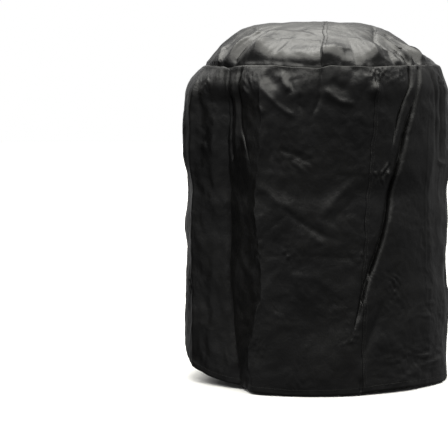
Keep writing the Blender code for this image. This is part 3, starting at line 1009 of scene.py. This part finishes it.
def make_crown(cloth, tape, sewing):
    points, plan, back = crown_surface()
    columns = points.shape[1]
    pieces = {}
    for side, index in (("right", np.arange(back + 1)), ("left", np.arange(back, columns + 1) % columns)):
        # Rows run down from the middle to the rim, as a grid's do
        panel = points[::-1, index], plan[::-1, index]
        pieces[side] = sewn_panel(f"crown_{side}", *panel, True, cloth, f"crown_panel_{side}")
    normal = normals_round(points[::-1])[::-1]
    inwards = np.linspace(0, 1, CROWN_ROWS + 1) ** RIM_CROWDING * RING_RADIUS
    first = int(np.flatnonzero(inwards > CENTRE_STITCHES_FROM)[0])

    def over_the_top(column):
        """Points and normals beside the centre seam, from the front of the rim to the back."""
        return [
            np.concatenate([grid[first:-1, column % columns], grid[first:-1, back - column][::-1]])
            for grid in (points, normal)
        ]

    threads = []
    for row, column in STITCHED.items():
        name = f"crown_centre_stitches_{row}"
        threads.append(sewn_stitches(name, over_the_top(column), sewing, "crown_centre_stitching"))
    centre = tape_under("crown_centre_tape", *over_the_top(TAPED), tape)
    ride(centre, "binding_tape", "crown_centre_binding")
    return pieces, threads


# ---- studio


def make_camera():
    camera = new_object("camera", bpy.data.cameras.new("camera"))
    turn = math.radians(CAMERA_TURN)
    camera.location = (CAMERA_DISTANCE * math.sin(turn), -CAMERA_DISTANCE * math.cos(turn), RING_HEIGHT)
    heading, dip = -turn - math.radians(CAMERA_HEADING), math.radians(CAMERA_DIP)
    look = Vector((math.sin(heading) * math.cos(dip), math.cos(heading) * math.cos(dip), -math.sin(dip)))
    camera.rotation_euler = look.to_track_quat("-Z", "Y").to_euler()
    camera.data.sensor_width = 36.0
    camera.data.lens = CAMERA_LENS
    camera.data.clip_end = 40.0
    bpy.context.scene.camera = camera


def softbox(name, place, aim, size, radiance, tint=(1, 1, 1)):
    """A rectangular light whose face has this radiance."""
    light = bpy.data.lights.new(name, "AREA")
    light.shape = "RECTANGLE"
    light.size, light.size_y = size
    light.energy = radiance * math.pi * size[0] * size[1]
    light.color = tint
    lamp = new_object(name, light)
    lamp.location = place
    lamp.rotation_euler = (Vector(aim) - Vector(place)).to_track_quat("-Z", "Y").to_euler()


def make_studio():
    mesh = bpy.data.meshes.new("studio_floor")
    corners = [(FLOOR_REACH * x, FLOOR_REACH * y, 0) for x, y in ((-1, -1), (1, -1), (1, 1), (-1, 1))]
    mesh.from_pydata(corners, [], [(0, 1, 2, 3)])
    floor = new_object("studio_floor", mesh, floor_material())
    floor.location.z = CAD_LOW.z - 0.001
    floor.visible_glossy = False
    floor.visible_diffuse = False
    softbox("top_light", (-0.2, 0.7, 2.5), (0, 0.1, 0.7), (1.4, 1.2), 2.4, (1, 0.99, 0.95))
    bpy.context.scene.world = bpy.data.worlds.new("studio")
    light_world(Nodes(bpy.context.scene.world))
    bpy.context.scene.view_settings.view_transform = "Standard"


def level(degrees):
    """The level direction at this turn from the front."""
    turn = math.radians(degrees)
    return (math.sin(turn), -math.cos(turn), 0)


def light_world(nodes):
    """A soft tent, bright overhead, with a black flag at the front left; the camera sees plain white."""
    way = nodes.add("ShaderNodeTexCoord").outputs["Generated"]
    up = (0, 0, 1)

    def share(direction, low, high, to_low, to_high):
        """A smooth change of light with how nearly a ray points in this direction."""
        dot = nodes.add("ShaderNodeVectorMath", {0: way, 1: direction}, operation="DOT_PRODUCT")
        return nodes.ramp(dot.outputs["Value"], low, high, to_low, to_high, interpolation_type="SMOOTHSTEP")

    room = share(up, -0.5, 0.5, ROOM_LOW, ROOM_HIGH)
    over = nodes.maths("ADD", room, share(up, *TENT_EDGE, 0, TENT_LIGHT))
    beside = share(level(SIDE_TURN), 0.8, 0.98, 0, SIDE_LIGHT)
    flag = share(level(FLAG_TURN), *FLAG_EDGE, 1, 0)
    flagged = nodes.maths("MULTIPLY", nodes.maths("ADD", over, beside), flag)
    strength = nodes.maths("ADD", flagged, share(level(180), 0.88, 0.99, 0, BACK_LIGHT))
    warmth = nodes.mix(share(up, 0.3, 0.9, 0, 1), (1, 1, 1, 1), (1, 0.985, 0.92, 1))
    nodes.connect("Background", Strength=strength, Color=warmth)
    tent = nodes.tree.nodes["Background"].outputs[0]
    plain = nodes.add("ShaderNodeBackground", {"Color": (1, 1, 1, 1)}).outputs[0]
    seen = nodes.add("ShaderNodeLightPath").outputs["Is Camera Ray"]
    either = nodes.add("ShaderNodeMixShader", {0: seen, 1: tent, 2: plain}).outputs[0]
    nodes.connect("World Output", Surface=either)


make_camera()
make_studio()
CLOTH_LOOK, TAPE_LOOK, THREAD_LOOK = cloth_material(), tape_material(), thread_material()
skirt, skirt_threads = make_skirt(CLOTH_LOOK, TAPE_LOOK, THREAD_LOOK)
crown, crown_threads = make_crown(CLOTH_LOOK, TAPE_LOOK, THREAD_LOOK)
